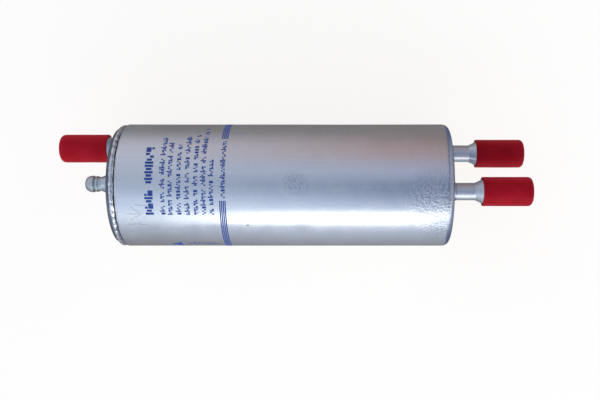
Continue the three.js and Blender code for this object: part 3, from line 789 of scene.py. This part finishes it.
def nipple_solid():
    """A shank, a ring, a groove and a round nose."""
    inside = -LID["sheet"] - NIPPLE["inside"]
    corners = [
        (inside, NIPPLE["bore"], 0.1),
        (inside, NIPPLE["spigot"], 0.2),
        (-LID["sheet"], NIPPLE["spigot"], 0),
        (-LID["sheet"], NIPPLE["passage"], 0),
        (GAP, NIPPLE["passage"], 0),
        (GAP, NIPPLE["shank"], 0),
        (NIPPLE["ring_start"] - 0.3, NIPPLE["shank"], 0.3),
        (NIPPLE["ring_start"], NIPPLE["ring"], 0.3),
        (NIPPLE["ring_end"], NIPPLE["ring"], 0.3),
        (NIPPLE["groove_start"], NIPPLE["groove"], 0.12),
        (NIPPLE["groove_end"], NIPPLE["groove"], 0.12),
        (NIPPLE["nose_start"], NIPPLE["nose"], 0.2),
        (NIPPLE["nose_start"] + NIPPLE["nose_flat"], NIPPLE["nose"], 0),
    ]
    profile = rounded(corners)
    middle = NIPPLE["nose_start"] + NIPPLE["nose_flat"]
    steps = 10
    for k in range(1, steps + 1):
        angle = math.pi / 2 * (1 - k / steps)
        x = middle + (NIPPLE["tip"] - middle) * math.cos(angle)
        profile.append((x, NIPPLE["mouth"] + (NIPPLE["nose"] - NIPPLE["mouth"]) * math.sin(angle)))
    profile.append((NIPPLE["tip"], NIPPLE["bore"] + 0.15))
    profile.append((NIPPLE["tip"] - 0.2, NIPPLE["bore"]))
    return turned(profile, 72)


def collar_solid(collar, seed):
    """A fillet of weld round a neck, with a slightly uneven toe."""
    steps = 10
    top = collar["neck"] + GAP
    profile = [(0, top)]
    for k in range(steps + 1):
        share = k / steps
        across = share + (math.sin(math.pi / 2 * share) - share) * collar["hollow"]
        along = share + (1 - math.cos(math.pi / 2 * share) - share) * collar["hollow"]
        profile.append((collar["height"] * along, collar["base"] + (top + GAP - collar["base"]) * across))
    profile.append((collar["height"], top))

    def shape(x, angle, radius):
        spread = (radius - top) / (collar["base"] - top)
        dip = 0.5 + 0.5 * noise.noise(Vector((math.cos(angle) * 2, math.sin(angle) * 2, seed + x)))
        return x, radius - TOE_DIP * dip * max(0, spread)

    return turned(profile, 96, shape)


def cap_solid(seed):
    """A dipped cap along +X with its rim at x = 0: a soft, slightly uneven skin and an uneven rim."""
    flat = CAP["length"] - CAP["dome"]
    corners = [
        (CAP["depth"], 0, 0),
        (CAP["depth"], CAP["bore"], 1),
        (0, CAP["bore"] + CAP["lead_in"] / 2, 0.3),
        (0, CAP["radius"], 0.35),
        (flat, CAP["radius"], CAP["tip_round"]),
        (CAP["length"], 0, 0),
    ]
    profile = divided(rounded(corners, steps=7), 1.2)

    def shape(x, angle, radius):
        if radius < CAP["bore"] + CAP["lead_in"] and x < CAP["depth"]:
            return x, radius
        place = Vector((x / 9, math.cos(angle) * 0.8, math.sin(angle) * 0.8 + seed))
        skin = CAP["skin_dip"] * (0.5 + 0.5 * noise.noise(place))
        rim = CAP["rim_dip"] * (0.5 + 0.5 * noise.noise(Vector((seed, math.cos(angle), math.sin(angle)))))
        edge = max(0, 1 - x / CAP["rim_reach"])
        return x + rim * edge, radius - skin

    return turned(profile, 96, shape)


def add_ports():
    for seed, (name, neck) in enumerate(NECKS.items()):
        flip = name == "outlet"
        out = -1 if flip else 1
        face = LID["face"] if flip else CAN["floor"]
        port = PORTS[name]
        at = {"port": port, "flip": flip}
        add_piece(
            f"{name}_tube",
            moved(stub_solid(neck), face, **at),
            FINISHES["stub_metal"],
            replaces=[f"{name}_stub"],
        )
        add_piece(
            f"{name}_collar",
            moved(collar_solid(COLLAR, seed), face + out * GAP, **at),
            COLLAR_FINISH,
            replaces=[f"{name}_stub_weld"],
        )
        add_piece(
            f"{name}_red_cap",
            moved(cap_solid(3 * seed + 1), face + out * (neck + STUB["cone"] - CAP["overlap"]), **at),
            CAP_FINISHES[name],
            body=f"{name}_cap_body",
            replaces=[f"{name}_cap"],
            crease=60,
        )
    at = {"port": PORTS["reference"], "flip": True}
    add_piece(
        "nipple",
        moved(nipple_solid(), LID["face"], **at),
        NIPPLE_FINISH,
        replaces=["reference_nipple"],
    )
    add_piece(
        "nipple_collar",
        moved(collar_solid(NIPPLE_COLLAR, 7), LID["face"] - GAP, **at),
        COLLAR_FINISH,
        replaces=["nipple_weld"],
    )


# ---- Inner parts that bend ----


def spring_solid(size):
    """A compression spring whose first and last turn lie almost flat."""
    start = size["start"] + size["wire"] / 2
    live = size["end"] - size["start"] - size["wire"] - 2 * size["dead"]
    turns = size["turns"]
    path = []
    steps = 40 * turns
    for k in range(steps + 1):
        turn = turns * k / steps
        middle = (min(max(turn, 1), turns - 1) - 1) / (turns - 2)
        dead = min(turn, 1) + max(turn - turns + 1, 0)
        angle = 2 * math.pi * turn
        x = start + live * middle + size["dead"] * dead
        path.append(Vector((x, size["radius"] * math.cos(angle), size["radius"] * math.sin(angle))))
    return swept(path, size["wire"] / 2, 12)


def diaphragm_solid():
    half = DIAPHRAGM["thick"] / 2
    steps = 16
    path = [(DIAPHRAGM["rim"] + LIFT, DIAPHRAGM["hole"])]
    for k in range(steps + 1):
        share = k / steps
        drop = LIFT * (1 - share * share * (3 - 2 * share))
        hump = DIAPHRAGM["roll"] * math.sin(math.pi * share) ** 2
        radius = DIAPHRAGM["flat"] + (DIAPHRAGM["clamp"] - DIAPHRAGM["flat"]) * share
        path.append((DIAPHRAGM["rim"] + drop - hump, radius))
    path.append((DIAPHRAGM["rim"], DIAPHRAGM["radius"]))
    upper = [(x - half, r) for x, r in path]
    lower = [(x + half, r) for x, r in reversed(path)]
    return turned(upper + lower, 96)


def add_soft_parts():
    spring = add_piece(
        "loaded_spring",
        spring_solid(REGULATOR_SPRING),
        FINISHES["spring_steel"],
        replaces=["regulator_spring"],
    )
    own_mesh(spring)

    disc = add_piece(
        "rolling_diaphragm",
        diaphragm_solid(),
        FINISHES["black_rubber"],
        replaces=["diaphragm"],
    )
    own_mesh(disc)

    add_piece(
        "element_spring",
        spring_solid(HOLD_SPRING),
        FINISHES["spring_steel"],
        replaces=["hold_down_spring"],
    )


# ---- Print ----

INK_RAISE = 0.03
INK_SINK = 0.05
STRIP = 3
PRINT_START = -27.3
TITLE = {"x": -58.2, "height": 3.7, "end": 36.6, "words": (4, 6), "gap": 0.9}
TEXT_HEIGHT = 2.4
TEXT_LINES = [
    (-52.4, 48.6, 25),
    (-49.1, 41.6, 24),
    (-45.3, 39.6, 23),
    (-41.5, 49.8, 26),
    (-37.8, 52.8, 27),
    (-34.2, 64.5, 31),
    (-30.8, 23.6, 16),
]
BAND = {"x": -25.6, "line": 0.54, "pitch": 0.78, "lines": 4, "gap_start": -14, "gap_end": 46.4}
BAND_MARKS = {"cells": 20, "margin": 2.5}
ARROW = {"angle": -72, "start": -52, "end": -46.8, "half": 3.1, "steps": 16}
SMALL_LINE = {"angle": -69, "start": -44.5, "end": -28.5, "height": 2, "width": 1.2}
# Hairline scratches, each a chain of (x, angle) points.
SCUFFS = [
    [(-66.4, -19.5), (-64.6, -23), (-63.1, -25), (-60.4, -31)],
    [(-67.2, -33), (-64.9, -29.5), (-63.4, -28.4), (-60.9, -25.5)],
    [(-64.5, -17.5), (-61.5, -18.4), (-56.5, -18.2)],
    [(-69, -26), (-65.6, -26.8), (-62.2, -26.2)],
    [(-68.4, -38), (-64.8, -37.2), (-59.9, -38.2)],
]
SCUFF_WIDTH = 0.12

# Marks that stand for characters, as (left, right, bottom, top) bars of a cell 1 wide and 1 high.
BOLD_MARKS = [
    [(0, 0.4, 0, 0.46), (0.46, 0.86, 0.52, 1)],
    [(0, 0.4, 0.52, 1), (0.46, 0.86, 0, 0.46)],
    [(0, 0.86, 0, 0.6), (0, 0.36, 0.68, 1)],
    [(0, 0.86, 0.4, 1), (0.5, 0.86, 0, 0.32)],
    [(0, 0.38, 0, 1), (0.5, 0.86, 0.2, 0.8)],
    [(0, 0.38, 0.16, 0.84), (0.5, 0.86, 0, 1)],
]
SMALL_MARKS = [
    [(0, 0.38, 0, 0.74), (0.46, 0.84, 0, 0.36)],
    [(0, 0.84, 0.4, 0.74), (0.46, 0.84, 0, 0.32)],
    [(0, 0.38, 0.4, 0.74), (0.46, 0.84, 0, 0.38)],
    [(0, 0.38, 0, 0.38), (0.46, 0.84, 0.4, 0.74)],
    [(0, 0.84, 0, 0.36), (0, 0.38, 0.44, 0.74)],
    [(0.08, 0.76, 0, 0.74)],
    [(0, 0.38, 0, 1), (0.46, 0.84, 0.2, 0.56)],
    [(0, 0.38, 0.1, 0.6), (0.46, 0.84, 0, 1)],
]


class Print:
    """Collects thin closed bars of ink that follow the can's skin."""

    def __init__(self):
        self.points = []
        self.faces = []

    def outline(self, corners):
        """A closed plate from (x, angle) corners in order. All corners of the outline lie on the skin."""
        first = len(self.points)
        count = len(corners)
        for lift in (-INK_SINK, INK_RAISE):
            for x, angle in corners:
                turn = math.radians(angle)
                radius = skin_radius(x, turn) + lift
                self.points.append((x, radius * math.sin(turn), radius * math.cos(turn)))
        self.faces.append(tuple(first + k for k in reversed(range(count))))
        self.faces.append(tuple(first + count + k for k in range(count)))
        for k in range(count):
            after = (k + 1) % count
            self.faces.append((first + k, first + after, first + count + after, first + count + k))

    def bar(self, x0, x1, start, end):
        """A plate between two stations and two angles, in strips narrow enough to follow the curve."""
        strips = max(1, math.ceil((end - start) / STRIP))
        first = len(self.points)
        for k in range(strips + 1):
            turn = math.radians(start + (end - start) * k / strips)
            for x in (x0, x1):
                for lift in (-INK_SINK, INK_RAISE):
                    radius = skin_radius(x, turn) + lift
                    self.points.append((x, radius * math.sin(turn), radius * math.cos(turn)))
        for k in range(strips):
            a = first + 4 * k
            b = a + 4
            self.faces += [(a, b, b + 1, a + 1), (a + 2, a + 3, b + 3, b + 2)]
            self.faces += [(a, a + 2, b + 2, b), (a + 1, b + 1, b + 3, a + 3)]
        last = first + 4 * strips
        self.faces += [(first, first + 1, first + 3, first + 2), (last, last + 2, last + 3, last + 1)]

    def line(self, points, width):
        """A ribbon along a chain of (x, angle) points."""
        for (x0, a0), (x1, a1) in zip(points, points[1:]):
            along = x1 - x0
            around = math.radians(a1 - a0) * CAN["skin"]
            half = width / 2 / math.hypot(along, around)
            dx = -around * half
            da = math.degrees(along * half / CAN["skin"])
            near = [(x0 - dx, a0 - da), (x1 - dx, a1 - da)]
            self.outline(near + [(x1 + dx, a1 + da), (x0 + dx, a0 + da)])

    def mark(self, bars, x, height, start, width):
        """One mark in a cell of the given width in degrees. Its top points along -X."""
        base = x + height / 2
        for left, right, bottom, top in bars:
            x0, x1 = base - height * top, base - height * bottom
            self.bar(x0, x1, start + width * left, start + width * right)


def add_print(name, made, material=INK):
    add_piece(name, (made.points, made.faces), material)


def print_title():
    made = Print()
    chance = random.Random(5)
    cells = sum(TITLE["words"]) + TITLE["gap"]
    width = (TITLE["end"] - PRINT_START) / cells
    start = PRINT_START
    for letters in TITLE["words"]:
        for _ in range(letters):
            made.mark(chance.choice(BOLD_MARKS), TITLE["x"], TITLE["height"], start, width)
            start += width
        start += width * TITLE["gap"]
    add_print("print_heading", made)


def print_lines():
    made = Print()
    chance = random.Random(8)
    for x, end, cells in TEXT_LINES:
        width = (end - PRINT_START) / cells
        left = 0
        for k in range(cells):
            if left == 0:
                left = chance.randint(2, 8)
                if k:
                    continue
            left -= 1
            made.mark(chance.choice(SMALL_MARKS), x, TEXT_HEIGHT, PRINT_START + k * width, width)
    add_print("print_lines", made)


def print_band():
    made = Print()
    for k in range(BAND["lines"]):
        x = BAND["x"] + (k - (BAND["lines"] - 1) / 2) * BAND["pitch"]
        made.bar(x - BAND["line"] / 2, x + BAND["line"] / 2, BAND["gap_end"], 360 + BAND["gap_start"])
    chance = random.Random(3)
    cells = BAND_MARKS["cells"]
    width = (BAND["gap_end"] - BAND["gap_start"] - 2 * BAND_MARKS["margin"]) / cells
    for k in range(cells):
        start = BAND["gap_start"] + BAND_MARKS["margin"] + k * width
        made.mark(chance.choice(SMALL_MARKS), BAND["x"], TEXT_HEIGHT, start, width)
    add_print("print_band", made)


def print_arrow():
    """An arrowhead low on the can, and a line of small marks behind it that read along the can."""
    made = Print()
    angle = ARROW["angle"]
    wing = math.degrees(ARROW["half"] / CAN["skin"])
    step = (ARROW["end"] - ARROW["start"]) / ARROW["steps"]
    for k in range(ARROW["steps"]):
        x = ARROW["start"] + k * step
        spread = wing * (k + 0.5) / ARROW["steps"]
        made.bar(x, x + step, angle - spread, angle + spread)
    half = math.degrees(SMALL_LINE["height"] / 2 / CAN["skin"])
    chance = random.Random(4)
    cells = int((SMALL_LINE["end"] - SMALL_LINE["start"]) / SMALL_LINE["width"])
    for k in range(cells):
        x = SMALL_LINE["start"] + k * SMALL_LINE["width"]
        for left, right, bottom, top in chance.choice(SMALL_MARKS):
            low = SMALL_LINE["angle"] - half + 2 * half * bottom
            high = SMALL_LINE["angle"] - half + 2 * half * top
            made.bar(x + left * SMALL_LINE["width"], x + right * SMALL_LINE["width"], low, high)
    add_print("print_arrow", made)


def scratch_can():
    made = Print()
    for points in SCUFFS:
        made.line(points, SCUFF_WIDTH)
    add_print("scuffs", made, SCUFF)


# ---- CAD nodes that stay ----


INNER_NODES = {
    "filter_paper": ["pleated_media"],
    "tinned_steel": [
        "core_tube",
        "element_front_disc",
        "element_rear_disc",
        "partition_plate",
        "return_tube",
    ],
    "zinc_steel": ["regulator_cover", "regulator_body", "spring_cup", "backing_plate"],
    "spring_steel": ["regulator_lock_ring"],
    "brass": ["spring_adjuster", "valve_stem", "valve_seat_tube"],
    "black_rubber": [
        "rear_grommet",
        "partition_o_ring",
        "return_tube_front_sleeve",
        "return_tube_rear_sleeve",
        "reference_hose",
    ],
    "seal_rubber": ["element_gasket", "regulator_gasket", "valve_disc"],
}


def paint_frame():
    """Gives every CAD node that is still shown the finish of its material slot."""
    for slot, names in INNER_NODES.items():
        for name in names:
            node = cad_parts[name]
            node.data.materials.clear()
            node.data.materials.append(FINISHES[slot])


# ---- Studio ----

# Lights, floor and camera are in metres, and angles in degrees.
FLOOR_SIZE = 6
KEY = {"distance": 1.2, "angle": 64, "size": (1.7, 0.46), "power": 4.4, "x": 0.65}
CAMERA = {"place": (0.0265, 0, 0.38), "lens": 47.72, "sensor": 36, "shift": (-0.0667, -0.0249)}
SKY_WEST = [
    (-180, (0.18, 0.18, 0.18)),
    (-120, (0.22, 0.22, 0.23)),
    (-96, (0.40, 0.41, 0.48)),
    (-78, (0.52, 0.54, 0.64)),
    (-45, (0.48, 0.54, 0.66)),
    (-12, (0.40, 0.46, 0.58)),
    (8, (0.46, 0.54, 0.69)),
    (25, (0.57, 0.67, 0.85)),
    (38, (0.63, 0.74, 0.93)),
    (60, (0.72, 0.81, 0.95)),
    (76, (0.44, 0.51, 0.64)),
    (95, (0.38, 0.42, 0.50)),
    (125, (0.27, 0.28, 0.31)),
    (180, (0.18, 0.18, 0.18)),
]
SKY_MIDDLE = [
    (-180, (0.18, 0.18, 0.18)),
    (-120, (0.22, 0.21, 0.21)),
    (-96, (0.32, 0.27, 0.28)),
    (-78, (0.41, 0.335, 0.355)),
    (-60, (0.42, 0.355, 0.385)),
    (-42, (0.42, 0.42, 0.51)),
    (-22, (0.40, 0.46, 0.62)),
    (-8, (0.28, 0.34, 0.465)),
    (3, (0.21, 0.27, 0.385)),
    (14, (0.30, 0.375, 0.525)),
    (32, (0.475, 0.565, 0.76)),
    (50, (0.71, 0.81, 0.96)),
    (76, (0.70, 0.77, 0.90)),
    (96, (0.50, 0.56, 0.69)),
    (125, (0.38, 0.41, 0.46)),
    (180, (0.18, 0.18, 0.18)),
]
SKY_EAST = [
    (-180, (0.18, 0.18, 0.18)),
    (-120, (0.22, 0.20, 0.20)),
    (-95, (0.25, 0.19, 0.18)),
    (-60, (0.40, 0.275, 0.26)),
    (-42, (0.39, 0.34, 0.41)),
    (-22, (0.40, 0.46, 0.63)),
    (-8, (0.235, 0.29, 0.41)),
    (3, (0.115, 0.16, 0.255)),
    (14, (0.15, 0.20, 0.31)),
    (32, (0.31, 0.37, 0.52)),
    (50, (0.50, 0.58, 0.72)),
    (76, (0.74, 0.81, 0.94)),
    (96, (0.48, 0.54, 0.66)),
    (125, (0.33, 0.36, 0.41)),
    (180, (0.18, 0.18, 0.18)),
]
SKY_EDGE = [(-180, (0.12, 0.15, 0.24)), (180, (0.12, 0.15, 0.24))]
SKY_END = [
    (-180, (0.30, 0.30, 0.31)),
    (-100, (0.38, 0.39, 0.41)),
    (-40, (0.50, 0.51, 0.54)),
    (0, (0.44, 0.46, 0.50)),
    (50, (0.68, 0.70, 0.74)),
    (100, (0.46, 0.47, 0.50)),
    (180, (0.30, 0.30, 0.31)),
]
# Each part of the sky, and how far towards +X a direction points where that part begins and is complete.
SKY_PARTS = [(SKY_MIDDLE, -0.26, 0), (SKY_EAST, 0, 0.13), (SKY_EDGE, 0.2, 0.3), (SKY_END, 0.5, 0.72)]


def sky_ramp(tree, turn, stops):
    ramp = add_node(tree, "ShaderNodeValToRGB", {"Fac": turn})
    elements = ramp.color_ramp.elements
    for k, (angle, colour) in enumerate(stops):
        place = angle / 360 + 0.5
        stop = elements[k] if k < 2 else elements.new(place)
        stop.position = place
        stop.color = (*colour, 1)
    return ramp.outputs["Color"]


def add_world():
    """A soft room whose colour changes with the direction round X, and between its two ends.

    The camera sees it as near white."""
    world = bpy.data.worlds.new("studio")
    world.use_nodes = True
    bpy.context.scene.world = world
    tree = world.node_tree
    direction = add_node(tree, "ShaderNodeTexCoord").outputs["Generated"]
    axes = add_node(tree, "ShaderNodeSeparateXYZ", {"Vector": direction})
    forward = combine(tree, "MULTIPLY", axes.outputs["Y"], -1)
    angle = combine(tree, "ARCTAN2", forward, axes.outputs["Z"])
    turn = span(tree, angle, -math.pi, math.pi, 0, 1)
    sky = sky_ramp(tree, turn, SKY_WEST)
    for stops, begin, full in SKY_PARTS:
        share = span(tree, axes.outputs["X"], begin, full, 0, 1)
        sky = blend_colour(tree, share, sky, sky_ramp(tree, turn, stops))
    seen = add_node(tree, "ShaderNodeLightPath").outputs["Is Camera Ray"]
    colour = blend_colour(tree, seen, sky, (0.98, 0.98, 0.98))
    tree.links.new(colour, tree.nodes["Background"].inputs["Color"])


def add_key():
    """A soft box that looks at the can's axis from an angle over it, measured from +Z towards -Y."""
    light = bpy.data.lights.new("key", "AREA")
    light.shape = "RECTANGLE"
    light.size, light.size_y = KEY["size"]
    light.energy = KEY["power"]
    lamp = bpy.data.objects.new("key", light)
    turn = math.radians(KEY["angle"])
    lamp.location = KEY["distance"] * Vector((0, -math.sin(turn), math.cos(turn)))
    lamp.location.x = KEY["x"]
    lamp.rotation_euler = (turn, 0, 0)
    bpy.context.scene.collection.objects.link(lamp)


def add_floor():
    material, tree, shader = new_material("floor", Roughness=0.9, Emission_Strength=0.83)
    shade = grain(tree, 3, detail=2)
    tint = blend_colour(tree, shade, (0.31, 0.31, 0.31), (0.33, 0.33, 0.33))
    tree.links.new(tint, shader.inputs["Base Color"])
    shader.inputs["Emission Color"].default_value = (1, 0.975, 0.93, 1)
    half = FLOOR_SIZE / 2
    mesh = bpy.data.meshes.new("floor")
    corners = [(-half, -half, 0), (half, -half, 0), (half, half, 0), (-half, half, 0)]
    mesh.from_pydata(corners, [], [(0, 1, 2, 3)])
    mesh.materials.append(material)
    floor = bpy.data.objects.new("floor", mesh)
    floor.location.z = CAD_BOX[0].z
    floor.visible_glossy = False
    bpy.context.scene.collection.objects.link(floor)


def add_camera():
    camera = bpy.data.cameras.new("camera")
    camera.lens = CAMERA["lens"]
    camera.sensor_width = CAMERA["sensor"]
    camera.shift_x, camera.shift_y = CAMERA["shift"]
    holder = bpy.data.objects.new("camera", camera)
    holder.location = CAMERA["place"]
    bpy.context.scene.collection.objects.link(holder)
    bpy.context.scene.camera = holder


add_can()
add_ports()
add_soft_parts()
print_title()
print_lines()
print_band()
print_arrow()
scratch_can()
paint_frame()
add_world()
add_key()
add_floor()
add_camera()
bpy.context.scene.view_settings.view_transform = "Standard"
